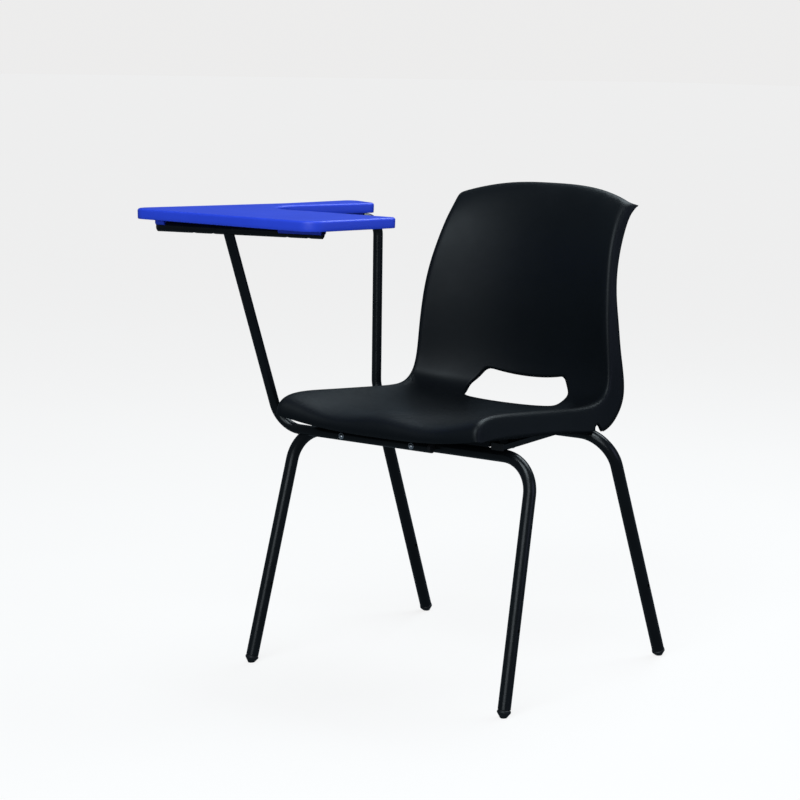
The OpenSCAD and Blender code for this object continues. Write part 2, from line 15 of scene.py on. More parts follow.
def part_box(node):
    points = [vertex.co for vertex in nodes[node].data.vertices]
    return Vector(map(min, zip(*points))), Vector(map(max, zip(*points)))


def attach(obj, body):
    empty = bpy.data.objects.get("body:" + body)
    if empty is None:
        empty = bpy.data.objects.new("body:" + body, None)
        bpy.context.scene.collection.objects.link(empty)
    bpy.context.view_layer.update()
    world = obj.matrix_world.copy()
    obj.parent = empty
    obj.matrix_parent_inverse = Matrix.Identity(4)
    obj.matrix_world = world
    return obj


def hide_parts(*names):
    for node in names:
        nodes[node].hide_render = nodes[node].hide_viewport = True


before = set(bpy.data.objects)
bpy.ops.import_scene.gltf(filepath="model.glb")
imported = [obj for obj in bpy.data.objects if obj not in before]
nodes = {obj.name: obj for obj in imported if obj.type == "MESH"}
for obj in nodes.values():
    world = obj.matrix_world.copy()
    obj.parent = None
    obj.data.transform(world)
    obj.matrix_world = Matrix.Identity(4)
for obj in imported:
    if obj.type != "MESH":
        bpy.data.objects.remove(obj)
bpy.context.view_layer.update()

BOARD_FRONT = 0.345  # from the middle of the seat forward to the board's front edge
shell_lo, shell_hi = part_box("seat_shell")
board_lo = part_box("writing_board")[0]
SHIFT = np.array([(shell_lo.x + shell_hi.x) / 2, board_lo.y + BOARD_FRONT, 0.0])

scene = bpy.context.scene


# ---- camera: the photograph's view ----
def make_camera():
    az, pitch, roll = (math.radians(a) for a in (37.015, 8.902, 0.735))
    place = np.array([2.431, -3.403, 1.125]) + SHIFT
    fwd = np.array([-math.sin(az) * math.cos(pitch), math.cos(az) * math.cos(pitch), -math.sin(pitch)])
    right = np.array([math.cos(az), math.sin(az), 0.0])
    up = np.cross(right, fwd)
    across = right * math.cos(roll) + up * math.sin(roll)
    above = -right * math.sin(roll) + up * math.cos(roll)
    data = bpy.data.cameras.new("camera")
    data.sensor_width = 36.0
    data.lens = 108.0
    data.clip_end = 50
    cam = bpy.data.objects.new("camera", data)
    turn = np.eye(4)
    turn[:3, 0], turn[:3, 1], turn[:3, 2], turn[:3, 3] = across, above, -fwd, place
    cam.matrix_world = Matrix(turn.tolist())
    scene.collection.objects.link(cam)
    scene.camera = cam


make_camera()


# ---- mesh helpers ----
def new_piece(name, points, faces, material, smooth=True):
    """A mesh piece from points in the chair's own frame."""
    pts = np.asarray(points, float) + SHIFT
    mesh = bpy.data.meshes.new(name)
    mesh.from_pydata([tuple(p) for p in pts], [], [tuple(int(i) for i in f) for f in faces])
    mesh.validate()
    bm = bmesh.new()
    bm.from_mesh(mesh)
    bmesh.ops.recalc_face_normals(bm, faces=bm.faces)
    bm.to_mesh(mesh)
    bm.free()
    for p in mesh.polygons:
        p.use_smooth = smooth
    obj = bpy.data.objects.new(name, mesh)
    scene.collection.objects.link(obj)
    mesh.materials.append(material)
    return obj


def soften(obj, width, segments=2, angle=32):
    """Rounds every edge sharper than angle, and keeps the flats flat."""
    mod = obj.modifiers.new("soft_edges", "BEVEL")
    mod.width = width
    mod.segments = segments
    mod.limit_method = "ANGLE"
    mod.angle_limit = math.radians(angle)
    mod.harden_normals = True


def finish_piece(obj, slot_name, *replaced):
    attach(obj, "root")
    if replaced:
        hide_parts(*replaced)


def unit(v):
    v = np.asarray(v, float)
    return v / np.linalg.norm(v, axis=-1, keepdims=True)


# ---- materials ----
def tree_of(name):
    mat = bpy.data.materials.new(name)
    mat.use_nodes = True
    tree = mat.node_tree
    tree.nodes.clear()
    out = tree.nodes.new("ShaderNodeOutputMaterial")
    bsdf = tree.nodes.new("ShaderNodeBsdfPrincipled")
    tree.links.new(bsdf.outputs[0], out.inputs[0])
    coords = tree.nodes.new("ShaderNodeTexCoord")
    return mat, tree, bsdf, coords


def noise(tree, coords, scale, detail=3.0, rough=0.5):
    node = tree.nodes.new("ShaderNodeTexNoise")
    node.inputs["Scale"].default_value = scale
    node.inputs["Detail"].default_value = detail
    node.inputs["Roughness"].default_value = rough
    tree.links.new(coords.outputs["Object"], node.inputs["Vector"])
    return node


def ramp(tree, source, stops):
    node = tree.nodes.new("ShaderNodeValToRGB")
    tree.links.new(source, node.inputs[0])
    node.color_ramp.elements[0].position, node.color_ramp.elements[0].color = stops[0]
    node.color_ramp.elements[1].position, node.color_ramp.elements[1].color = stops[-1]
    for place, colour in stops[1:-1]:
        node.color_ramp.elements.new(place).color = colour
    return node


def bump(tree, bsdf, source, strength, distance, before=None):
    node = tree.nodes.new("ShaderNodeBump")
    node.inputs["Strength"].default_value = strength
    node.inputs["Distance"].default_value = distance
    tree.links.new(source, node.inputs["Height"])
    if before is not None:
        tree.links.new(before.outputs[0], node.inputs["Normal"])
    tree.links.new(node.outputs[0], bsdf.inputs["Normal"])
    return node


def grey(v):
    return (v, v, v, 1.0)


MOTTLE = 9.0  # scale of the slow variation of a plastic's colour


def plastic(name, dark, light, rough, grain, grain_depth, specular=0.5):
    """Moulded plastic: a fine leathery grain, uneven gloss and a little variation of colour."""
    mat, tree, bsdf, coords = tree_of(name)
    broad = noise(tree, coords, MOTTLE, 4.0, 0.6)
    colour = ramp(tree, broad.outputs["Fac"], [(0.3, (*dark, 1)), (0.7, (*light, 1))])
    tree.links.new(colour.outputs["Color"], bsdf.inputs["Base Color"])
    gloss = ramp(tree, noise(tree, coords, MOTTLE * 2.7, 5.0).outputs["Fac"],
                 [(0.25, grey(rough[0])), (0.75, grey(rough[1]))])
    tree.links.new(gloss.outputs["Color"], bsdf.inputs["Roughness"])
    fine = noise(tree, coords, grain, 2.0, 0.6)
    first = bump(tree, bsdf, fine.outputs["Fac"], 0.35, grain_depth)
    wave = noise(tree, coords, 26.0, 2.0)
    bump(tree, bsdf, wave.outputs["Fac"], 0.12, 0.0006, first)
    bsdf.inputs["Specular IOR Level"].default_value = specular
    return mat


def powder_coat(name):
    """Black powder coat: an orange-peel skin with bright specks where it catches the light."""
    mat, tree, bsdf, coords = tree_of(name)
    broad = noise(tree, coords, 14.0, 3.0)
    colour = ramp(tree, broad.outputs["Fac"], [(0.3, (0.0042, 0.0052, 0.0062, 1)),
                                               (0.7, (0.0062, 0.0076, 0.009, 1))])
    tree.links.new(colour.outputs["Color"], bsdf.inputs["Base Color"])
    gloss = ramp(tree, noise(tree, coords, 60.0, 4.0).outputs["Fac"], [(0.3, grey(0.22)), (0.7, grey(0.34))])
    tree.links.new(gloss.outputs["Color"], bsdf.inputs["Roughness"])
    peel = tree.nodes.new("ShaderNodeTexVoronoi")
    peel.feature = "SMOOTH_F1"
    peel.inputs["Scale"].default_value = 420.0
    tree.links.new(coords.outputs["Object"], peel.inputs["Vector"])
    first = bump(tree, bsdf, peel.outputs["Distance"], 0.2, 0.0004)
    bump(tree, bsdf, noise(tree, coords, 900.0, 2.0).outputs["Fac"], 0.06, 0.0002, first)
    bsdf.inputs["Specular IOR Level"].default_value = 0.36
    return mat


def zinc_plate(name):
    mat, tree, bsdf, coords = tree_of(name)
    tone = noise(tree, coords, 260.0, 4.0)
    colour = ramp(tree, tone.outputs["Fac"], [(0.3, (0.55, 0.57, 0.6, 1)), (0.75, (0.82, 0.83, 0.85, 1))])
    tree.links.new(colour.outputs["Color"], bsdf.inputs["Base Color"])
    gloss = ramp(tree, tone.outputs["Fac"], [(0.3, grey(0.36)), (0.8, grey(0.2))])
    tree.links.new(gloss.outputs["Color"], bsdf.inputs["Roughness"])
    bump(tree, bsdf, noise(tree, coords, 1800.0, 2.0).outputs["Fac"], 0.2, 0.0002)
    bsdf.inputs["Metallic"].default_value = 1.0
    return mat


SHELL = plastic("black_shell_plastic", (0.0036, 0.0048, 0.0066), (0.0046, 0.006, 0.0082),
                (0.4, 0.48), 1500.0, 0.0004, specular=0.26)
BOARD = plastic("blue_board_plastic", (0.028, 0.078, 0.9), (0.036, 0.092, 0.96),
                (0.34, 0.42), 1100.0, 0.0003)
PLUG = plastic("black_plug_plastic", (0.009, 0.009, 0.01), (0.013, 0.013, 0.0145), (0.5, 0.62), 1500.0, 0.0003)
GLIDE = plastic("glide_plastic", (0.008, 0.0085, 0.0095), (0.012, 0.0125, 0.0135), (0.42, 0.55), 1200.0, 0.0003)
COAT = powder_coat("black_powder_coat")
ZINC = zinc_plate("zinc_plate")


# ---- shell ----
# Stations from the front lip over the seat and up the back, in mm: centre [y, z] of the middle line,
# ridge of the rounded side edge, hem of the side band. They are the CAD shell's, but for a crest 0.4 mm
# lower and three ridge stations at the seat's front corners that are a few mm further out and up.
CENTRE = [[-238, 434], [-246, 443], [-245, 458], [-228, 471], [-187, 472], [-122, 463],
          [-50, 455], [30, 448], [98, 445], [146, 447], [181, 457], [203, 476],
          [212, 502], [215, 535], [214, 575], [213, 620], [215, 665], [221, 710],
          [232, 755], [243, 795], [254, 825], [268, 841.6], [280, 842.6], [286, 837]]
RIDGE = [[214, -255, 453], [213, -257, 465], [212, -250, 481], [209, -226, 491], [207, -182, 492],
         [205, -114, 487], [205, -40, 482], [206, 25, 477], [208, 72, 474], [211, 104, 475],
         [214, 128, 483], [214, 141, 497], [212, 146, 517], [209, 147, 543], [206, 147, 579],
         [202, 149, 620], [198, 155, 662], [193, 166, 705], [188, 182, 745], [185, 202, 779],
         [183, 221, 801], [183, 232, 813], [183, 241, 817], [184, 248, 817]]
HEM = [[217, -243, 452], [218, -229, 451], [219, -210, 450], [218, -186, 448], [217, -154, 446],
       [217, -107, 443], [218, -45, 439], [219, 20, 432], [221, 66, 425], [222, 102, 421],
       [223, 138, 426], [224, 167, 449], [224, 185, 478], [223, 183, 517], [218, 177, 563],
       [214, 176, 611], [208, 175, 655], [201, 186, 698], [195, 205, 737], [191, 226, 771],
       [190, 241, 792], [192, 250, 802], [194, 257, 808], [195, 263, 812]]
THIGH_DIP = [0, 2, 6, 9, 9, 5, 1]
SHELL_T = 0.0045  # wall
RIDGE_REACH = 0.012  # how far from the ridge its rounding starts
RIM_R = 0.0014  # rounding of the shell's free edges
LAST = len(CENTRE) - 1


def share(i, start, end):
    return min(1, max(0, (i - start) / (end - start)))


SEAT_BOW, BACK_BOW, CREST_BOW = 2.6, 2.0, 2.8
BOW = [(SEAT_BOW - (SEAT_BOW - BACK_BOW) * share(i, 8, 12)) * (1 - share(i, 18, 22))
       + CREST_BOW * share(i, 18, 22) for i in range(LAST + 1)]
DIP = np.r_[THIGH_DIP, np.zeros(LAST + 1 - len(THIGH_DIP))] / 1000
ROWS = np.c_[np.array(CENTRE) / 1000, np.array(RIDGE) / 1000, np.array(HEM) / 1000, BOW, DIP]
ENDS = np.vstack([2 * ROWS[0] - ROWS[1], ROWS, 2 * ROWS[-1] - ROWS[-2]])


def station(t):
    """Rows of ten numbers at the places t, on a uniform cubic B-spline."""
    t = np.asarray(t, float)
    i = np.clip(np.floor(t).astype(int), 0, LAST - 1)
    f = (t - i)[..., None]
    a, b, c, d = ENDS[i], ENDS[i + 1], ENDS[i + 2], ENDS[i + 3]
    return ((1 - f) ** 3 * a + (3 * f ** 3 - 6 * f ** 2 + 4) * b
            + (-3 * f ** 3 + 3 * f ** 2 + 3 * f + 1) * c + f ** 3 * d) / 6


def face_at(t, a):
    """The sharp shell's face: a is 0 in the middle and 1 at the ridge."""
    r = station(t)
    f = np.abs(a) ** r[..., 8]
    dip = r[..., 9] * (1 - np.cos(2 * math.pi * a)) / 2
    return np.stack([r[..., 2] * a, r[..., 0] + (r[..., 3] - r[..., 0]) * f,
                     r[..., 1] + (r[..., 4] - r[..., 1]) * f - dip], -1)


def band_at(t, w):
    """The side band: w is 0 at the ridge and 1 at the hem."""
    r = station(t)
    w = np.asarray(w, float)[..., None]
    return r[..., 2:5] + (r[..., 5:8] - r[..., 2:5]) * w


def normal_of(surface, t, v, step=1e-3):
    t0, t1 = np.maximum(t - step, 0), np.minimum(t + step, LAST)
    dv = surface(t, v + step) - surface(t, v - step)
    dt = surface(t1, v) - surface(t0, v)
    return unit(np.cross(dv, dt))


def shell_point(t, v):
    """Outer and inner point of the shell's left half at t and v; the ridge is rounded.

    v runs 0..1 over the face up to the rounding, 1..2 over the rounding and 2..3 over the band.
    """
    t, v = np.broadcast_arrays(np.asarray(t, float), np.asarray(v, float))
    r = station(t)
    width = np.linalg.norm(r[..., 5:8] - r[..., 2:5], axis=-1)
    a_end = 1 - RIDGE_REACH / r[..., 2]
    w_end = np.minimum(0.5, RIDGE_REACH / width)
    a = a_end * np.clip(v, 0, 1)
    w = w_end + (1 - w_end) * np.clip(v - 2, 0, None)
    on_face, n_face = face_at(t, a), normal_of(face_at, t, a)
    on_band, n_band = band_at(t, w), normal_of(band_at, t, w)
    ridge = band_at(t, 0 * t)
    n1, n2 = normal_of(face_at, t, a_end), normal_of(band_at, t, w_end)
    corner = ridge - (n1 + n2) * (SHELL_T / (1 + (n1 * n2).sum(-1)))[..., None]
    out, inn = [], []
    for face, edge, band, result in (
            (face_at(t, a_end), ridge, band_at(t, w_end), out),
            (face_at(t, a_end) - n1 * SHELL_T, corner, band_at(t, w_end) - n2 * SHELL_T, inn)):
        s = np.clip(v - 1, 0, 1)[..., None]
        result.append((1 - s) ** 2 * face + 2 * s * (1 - s) * edge + s * s * band)
    pick = [(v <= 1)[..., None], (v >= 2)[..., None]]
    outer = np.where(pick[0], on_face, np.where(pick[1], on_band, out[0]))
    inner = np.where(pick[0], on_face - n_face * SHELL_T,
                     np.where(pick[1], on_band - n_band * SHELL_T, inn[0]))
    return outer, inner


def shell_both(t, v):
    """shell_point for either side: v is negative at the sitter's right."""
    outer, inner = shell_point(t, np.abs(v))
    side = np.where(np.asarray(v) < 0, -1.0, 1.0)
    flip = np.stack([side, np.ones_like(side), np.ones_like(side)], -1)
    return outer * flip, inner * flip


# The handle opening's outline, in its own tilted plane
HANDLE = dict(y=0.156, z=0.449, tilt=math.radians(41),
              corners=[[-100, -3], [100, -3], [107, 32], [84, 66], [-84, 66], [-107, 32]],
              radii=[13, 13, 20, 19, 19, 20])


def outline(corners, radii, inset=0.0, steps=8):
    """A polygon moved inwards by inset, with each corner rounded to its own radius."""
    p = np.asarray(corners, float)
    n = len(p)

    def inward(a, b):
        d = unit(b - a)
        return np.array([-d[1], d[0]])

    q = []
    for i in range(n):
        n1, n2 = inward(p[i - 1], p[i]), inward(p[i], p[(i + 1) % n])
        q.append(p[i] + (n1 + n2) * inset / (1 + n1 @ n2))
    points = []
    for i in range(n):
        a, b, c = q[i - 1], q[i], q[(i + 1) % n]
        d, e = b - a, c - b
        bow = math.atan2(d[0] * e[1] - d[1] * e[0], d @ e)
        s = -1 if bow < 0 else 1
        r = max(1e-3, radii[i] - s * inset)
        n1 = inward(a, b)
        centre = b + unit(a - b) * r * math.tan(abs(bow) / 2) + n1 * r * s
        start = math.atan2(-n1[1] * s, -n1[0] * s)
        for k in range(steps + 1):
            g = start + bow * k / steps
            points.append(centre + r * np.array([math.cos(g), math.sin(g)]))
    return np.array(points)


def resample(loop, start, end, count):
    """count points at equal steps along a closed loop, from the point nearest start to end."""
    closed = np.vstack([loop, loop[:1]])
    fine = np.vstack([closed[i] + (closed[i + 1] - closed[i]) * k / 12
                      for i in range(len(loop)) for k in range(12)])
    i0 = np.argmin(np.linalg.norm(fine - start, axis=1))
    i1 = np.argmin(np.linalg.norm(fine - end, axis=1))
    order = [(i0 + k) % len(fine) for k in range((i1 - i0) % len(fine) + 1)]
    path = fine[order]
    run = np.r_[0, np.cumsum(np.linalg.norm(np.diff(path, axis=0), axis=1))]
    at = np.linspace(0, run[-1], count)
    return np.stack([np.interp(at, run, path[:, k]) for k in range(path.shape[1])], 1)


def on_handle_plane(p):
    """[across, up the tilt] of a point, in the plane of the handle opening."""
    y, z = p[..., 1] - HANDLE["y"], p[..., 2] - HANDLE["z"]
    return np.stack([p[..., 0], y * math.cos(HANDLE["tilt"]) + z * math.sin(HANDLE["tilt"])], -1)


def shell_place(target, guess):
    """The (t, v) whose outer point falls on the target in the handle's plane, by Newton's method."""
    tv = np.array(guess, float)
    for _ in range(30):
        miss = on_handle_plane(shell_both(tv[0], tv[1])[0]) - target
        jac = np.zeros((2, 2))
        for k, h in enumerate((1e-4, 1e-5)):
            step = tv.copy()
            step[k] += h
            jac[:, k] = (on_handle_plane(shell_both(step[0], step[1])[0]) - target - miss) / h
        move = np.linalg.solve(jac, miss)
        tv -= np.clip(move, -0.4, 0.4)
        if np.abs(move).max() < 1e-9:
            break
    return tv


# The small arched gap in the side band: its top height above each y, in the chair's own frame
NOTCH_Y, NOTCH_Z, NOTCH_R = 0.1045, 0.4368, 0.0082
NOTCH_FALL = (20, 1.25)  # how steeply its front and rear edges fall


def notch_top(y):
    d = y - NOTCH_Y
    flat = NOTCH_Z - NOTCH_R
    arch = flat + np.sqrt(np.clip(NOTCH_R ** 2 - d ** 2, 0, None))
    left = flat - (-d - NOTCH_R) * NOTCH_FALL[0]
    right = flat - (d - NOTCH_R) * NOTCH_FALL[1]
    return np.where(np.abs(d) <= NOTCH_R, arch, np.where(d < 0, left, right))


def hem_place(t):
    """How far down the band each row runs, in v: short of the hem by the rim, and cut by the notch."""
    r = station(t)
    width = np.linalg.norm(r[..., 5:8] - r[..., 2:5], axis=-1)
    w_end = np.minimum(0.5, RIDGE_REACH / width)
    y = r[..., 3] + (r[..., 6] - r[..., 3]) * 0.8
    to_notch = (r[..., 4] - notch_top(y)) / (r[..., 4] - r[..., 7])
    near = (y > NOTCH_Y - 0.02) & (y < NOTCH_Y + 0.04)
    w = np.where(near, np.minimum(1.0, to_notch), 1.0) - RIM_R / width
    return 2 + (w - w_end) / (1 - w_end)


ROWS_PER_STATION, FACE_COLS = 6, 27
RELAX_ROWS, RELAX_PASSES = 12, 1500  # how far around the opening the grid evens out, and how often


def build_shell():
    # rows: even steps along the stations, close together at the notch
    rows = list(np.arange(0, LAST + 1e-9, 1 / ROWS_PER_STATION))
    fine_t = np.linspace(7.5, 11.5, 800)
    around = [-12, -10.6, -9.8, -9.2, -8.8, -8.5, -8.2, -7.7, -6.8, -5.4, -3.8, -2, 0, 2, 3.8, 5.4, 6.8,
              7.8, 8.6, 9.6, 10.8, 12, 13.2, 14.4, 15.6, 17, 19, 21.5, 24]
    wanted = NOTCH_Y + np.array(around) / 1000
    at_notch = np.interp(wanted, station(fine_t)[:, 3] * 0.2 + station(fine_t)[:, 6] * 0.8, fine_t)
    rows = [t for t in rows if t < at_notch[0] - 0.05 or t > at_notch[-1] + 0.05] + list(at_notch)
    rows = np.array(sorted(rows))
    mid = shell_point(np.array([0.0, 0.1, LAST - 0.1, LAST]), np.zeros(4))[0]
    rows[0] = 0.1 * RIM_R / np.linalg.norm(mid[1] - mid[0])
    rows[-1] = LAST - 0.1 * RIM_R / np.linalg.norm(mid[3] - mid[2])
    m = len(rows)
    # columns of one half: the face, the rounding, the band
    half = np.r_[np.linspace(0, 1, FACE_COLS), 1 + np.arange(1, 7) / 6, 2 + np.arange(1, 6) / 5]
    cols = np.r_[-half[:0:-1], half]
    n = len(cols)
    centre_col = n // 2
    t_grid = np.repeat(rows[:, None], n, 1)
    v_grid = np.repeat(cols[None, :], m, 0)
    reach = hem_place(rows)
    down = np.abs(v_grid)
    v_grid = np.sign(v_grid) * np.where(down > 2, 2 + (down - 2) * (reach[:, None] - 2), down)

    # the block of cells that the opening takes, and its rim on the outline
    loop = outline(HANDLE["corners"], HANDLE["radii"], -RIM_R * 1000, 10) / 1000

    def guess(p):
        """A first (t, v) for a point of the opening: it runs from row 9.4 over 2.3 rows."""
        return 9.4 + 2.3 * p[1] / 0.068, p[0] / 0.212

    corner_tv = {k: shell_place(np.array(p), guess(p))
                 for k, p in {"low": (0.100, 0.002), "high": (0.080, 0.066)}.items()}
    i0 = int(np.argmin(np.abs(rows - corner_tv["low"][0])))
    i1 = int(np.argmin(np.abs(rows - corner_tv["high"][0])))
    reach_col = int(round(np.interp(corner_tv["low"][1], half[:FACE_COLS], np.arange(FACE_COLS))))
    j0, j1 = centre_col - reach_col, centre_col + reach_col
    low_l, low_r, high_r, high_l = (np.array(p) for p in (
        (-0.0985, -0.002), (0.0985, -0.002), (0.0795, 0.0665), (-0.0795, 0.0665)))
    fixed = np.zeros((m, n), bool)
    sides = [(low_l, low_r, [(i0, j) for j in range(j0, j1 + 1)]),
             (low_r, high_r, [(i, j1) for i in range(i0, i1 + 1)]),
             (high_r, high_l, [(i1, j) for j in range(j1, j0 - 1, -1)]),
             (high_l, low_l, [(i, j0) for i in range(i1, i0 - 1, -1)])]
    for start, end, cells in sides:
        for p, (i, j) in zip(resample(loop, start, end, len(cells)), cells):
            t_grid[i, j], v_grid[i, j] = shell_place(p, guess(p))
            fixed[i, j] = True
    # the rows and columns around it relax, so that the cells stay even
    fixed[: i0 - RELAX_ROWS] = True
    fixed[i1 + RELAX_ROWS:] = True
    fixed[:, np.abs(cols) >= 1] = True
    inside = np.zeros((m, n), bool)
    inside[i0 + 1:i1, j0 + 1:j1] = True
    free = ~(fixed | inside)
    for _ in range(RELAX_PASSES):
        for g in (t_grid, v_grid):
            mean = (np.roll(g, 1, 0) + np.roll(g, -1, 0) + np.roll(g, 1, 1) + np.roll(g, -1, 1)) / 4
            g[free] = mean[free]

    outer, inner = shell_both(t_grid, v_grid)
    keep = np.ones((m - 1, n - 1), bool)
    keep[i0:i1, j0:j1] = False
    used = ~inside
    index = -np.ones((m, n), int)
    index[used] = np.arange(used.sum())
    count = int(used.sum())
    points = [*outer[used], *inner[used]]
    faces = []
    for i in range(m - 1):
        for j in range(n - 1):
            if keep[i, j]:
                a, b, c, d = index[i, j], index[i, j + 1], index[i + 1, j + 1], index[i + 1, j]
                faces.append((a, b, c, d))
                faces.append((d + count, c + count, b + count, a + count))

    def rim(cells):
        """Closes the gap between the two skins along a loop of grid cells, with rounded edges."""
        ids = [index[i, j] for i, j in cells]
        o = np.array([outer[i, j] for i, j in cells])
        q = np.array([inner[i, j] for i, j in cells])
        along = unit(np.roll(o, -1, 0) - np.roll(o, 1, 0))
        depth = unit(q - o)
        out = unit(np.cross(along, depth))
        c = RIM_R
        steps = 3
        loops = [ids]
        for s in range(1, 2 * steps + 1):
            near_outer = s <= steps
            base, d = (o, depth) if near_outer else (q, -depth)
            g = math.pi / 2 * (s if near_outer else 2 * steps + 1 - s) / steps
            ring = base + out * c * math.sin(g) + d * c * (1 - math.cos(g))
            first = len(points)
            points.extend(ring)
            loops.append(list(range(first, first + len(ids))))
        loops.append([k + count for k in ids])
        for a, b in zip(loops, loops[1:]):
            for k in range(len(ids)):
                l = (k + 1) % len(ids)
                faces.append((a[k], b[k], b[l], a[l]))

    rim([(0, j) for j in range(n)] + [(i, n - 1) for i in range(1, m)]
        + [(m - 1, j) for j in range(n - 2, -1, -1)] + [(i, 0) for i in range(m - 2, 0, -1)])
    rim([c for c in reversed([c for _, _, cells in sides for c in cells[:-1]])])
    return new_piece("shell", points, faces, SHELL)


shell = build_shell()
finish_piece(shell, "shell", "seat_shell")

# ---- bosses and pads under the shell ----
FRONT_RAIL, REAR_RAIL = np.array([-0.143, 0.414]), np.array([0.092, 0.424])  # y, z of the cross tubes
RAIL_X, RAIL_TOP = 0.188, 0.011 + 0.012  # its top above the cross tubes' middle line
SLOPE = math.atan2(REAR_RAIL[1] - FRONT_RAIL[1], REAR_RAIL[0] - FRONT_RAIL[0])


def tube_mesh(rings):
    """Points and faces of a lengthwise run of equal rings of points, closed at both ends."""
    k = len(rings[0])
    points = [p for ring in rings for p in ring]
    faces = [(i * k + j, i * k + (j + 1) % k, (i + 1) * k + (j + 1) % k, (i + 1) * k + j)
             for i in range(len(rings) - 1) for j in range(k)]
    faces += [tuple(range(k - 1, -1, -1)), tuple((len(rings) - 1) * k + j for j in range(k))]
    return points, faces


def merge(parts):
    points, faces = [], []
    for p, f in parts:
        faces += [tuple(i + len(points) for i in face) for face in f]
        points += list(p)
    return points, faces


def boss_mesh(side, t, r=0.008, bore=0.0025, flare=0.0035, around=32):
    """A hollow boss that stands on a seat rail and flares into the shell above it."""
    row = station(t)
    top = face_at(t, RAIL_X / row[2])
    up = np.array([0.0, -math.sin(SLOPE), math.cos(SLOPE)])
    fwd = np.array([0.0, math.cos(SLOPE), math.sin(SLOPE)])
    base = np.array([0.0, FRONT_RAIL[0], FRONT_RAIL[1]])
    along = (top - base) @ fwd
    foot = base + fwd * along + up * RAIL_TOP + np.array([RAIL_X, 0, 0])
    height = (top - base) @ up - RAIL_TOP - SHELL_T / 2
    rings = []
    steps = [(bore, height * 0.8), (bore, 0.0), (r - 0.0006, 0.0), (r, 0.0006), (r, height - SHELL_T / 2 - flare)]
    steps += [(r + flare * (1 - math.cos(g)), height - SHELL_T / 2 - flare + flare * math.sin(g))
              for g in np.linspace(0.3, math.pi / 2, 5)]
    for radius, h in steps:
        g = np.linspace(0, 2 * math.pi, around, endpoint=False)
        ring = foot + up * h + np.outer(np.cos(g), [radius, 0, 0]) + np.outer(np.sin(g), fwd * radius)
        rings.append(ring * [side, 1, 1])
    return tube_mesh(rings)


def pad_mesh(side, x0=0.108, x1=0.176, y0=-0.160, y1=-0.128, z0=0.428):
    """A slightly tapered pad whose top follows the shell's underside."""
    xs, ys = np.linspace(x0, x1, 7), np.linspace(y0, y1, 3)
    fine = np.linspace(3.2, 5.6, 241)

    def roof(x, y):
        at = face_at(fine, x / station(fine)[:, 2])
        return float(np.interp(y, at[:, 1], at[:, 2])) - SHELL_T * 0.6

    edge = ([(x, y0) for x in xs] + [(x1, y) for y in ys[1:]] + [(x, y1) for x in xs[::-1][1:]]
            + [(x0, y) for y in ys[::-1][1:-1]])
    mid = np.array([(x0 + x1) / 2, (y0 + y1) / 2])
    rings = []
    for inset, share_up in ((0.0022, 0.0), (0.0012, 0.0), (0.0, 1.0)):
        ring = []
        for x, y in edge:
            q = mid + (np.array([x, y]) - mid) * (1 - inset / 0.013)
            low = z0 + (0.0008 if inset == 0.0012 else 0)
            ring.append((side * q[0], q[1], low if share_up == 0 else roof(x, y)))
        rings.append(ring)
    return tube_mesh(rings)


pieces = [boss_mesh(s, t) for s in (-1, 1) for t in (5, 8)] + [pad_mesh(s) for s in (-1, 1)]
bosses = new_piece("shell_bosses", *merge(pieces), SHELL)
soften(bosses, 0.0006, 2)
finish_piece(bosses, "shell", "seat_shell")

# ---- writing board ----
BOARD_TOP, RIM_H, PLATE_T, WALL = 0.802, 0.018, 0.004, 0.003
BOARD_CLEAR = 0.0002  # keeps the finely divided outline inside the CAD board's
BOARD_LOW = BOARD_TOP - RIM_H
BOARD_CORNERS = [[-478, -345], [-62, -345], [-15, -165], [-352, -170], [-245, 68], [-325, 100], [-360, -60]]
BOARD_RADII = [24, 36, 12, 62, 12, 22, 150]
ARM_R = 0.009
BAR_Z = BOARD_LOW - 0.003 - ARM_R
BAR = np.array([[-0.420, -0.322, BAR_Z], [-0.124, -0.243, BAR_Z]])
RUN = np.array([[-0.275, 0.112, BAR_Z], BAR[0] + (BAR[1] - BAR[0]) * 0.11])
BOSS_SPOTS = [BAR[0] + (BAR[1] - BAR[0]) * t for t in (0.22, 0.34, 0.8, 0.93)]
BOSS_SPOTS += [RUN[0] + (RUN[1] - RUN[0]) * t for t in (0.24, 0.6)]


def board_loop(inset, z, steps=10):
    loop = outline(BOARD_CORNERS, BOARD_RADII, (inset + BOARD_CLEAR) * 1000, steps) / 1000
    return np.c_[loop, np.full(len(loop), z)]


def board_pan():
    """The board's skin: a top with a rounded edge, the rim and its inner side, and the plate's underside."""
    r = 0.0042
    section = [(r + 0.006, BOARD_TOP)]
    section += [(r - r * math.sin(g), BOARD_TOP - r + r * math.cos(g)) for g in np.linspace(0, math.pi / 2, 8)]
    section += [(0.0002, BOARD_LOW + 0.006), (0.0004, BOARD_LOW + 0.0009), (0.0007, BOARD_LOW + 0.0003),
                (0.0013, BOARD_LOW), (WALL - 0.0008, BOARD_LOW), (WALL - 0.0003, BOARD_LOW + 0.0004),
                (WALL, BOARD_LOW + 0.001), (WALL + 0.0004, BOARD_TOP - PLATE_T - 0.002),
                (WALL + 0.001, BOARD_TOP - PLATE_T - 0.0007), (WALL + 0.0024, BOARD_TOP - PLATE_T)]
    return tube_mesh([board_loop(inset, z) for inset, z in section])


def spans(loop, axis, value):
    """The stretches of a straight line, square to the axis at the value, that lie inside a loop."""
    other = 1 - axis
    hits = []
    for a, b in zip(loop, np.roll(loop, -1, 0)):
        if (a[axis] - value) * (b[axis] - value) < 0:
            t = (value - a[axis]) / (b[axis] - a[axis])
            hits.append(a[other] + (b[other] - a[other]) * t)
    hits.sort()
    return list(zip(hits[::2], hits[1::2]))


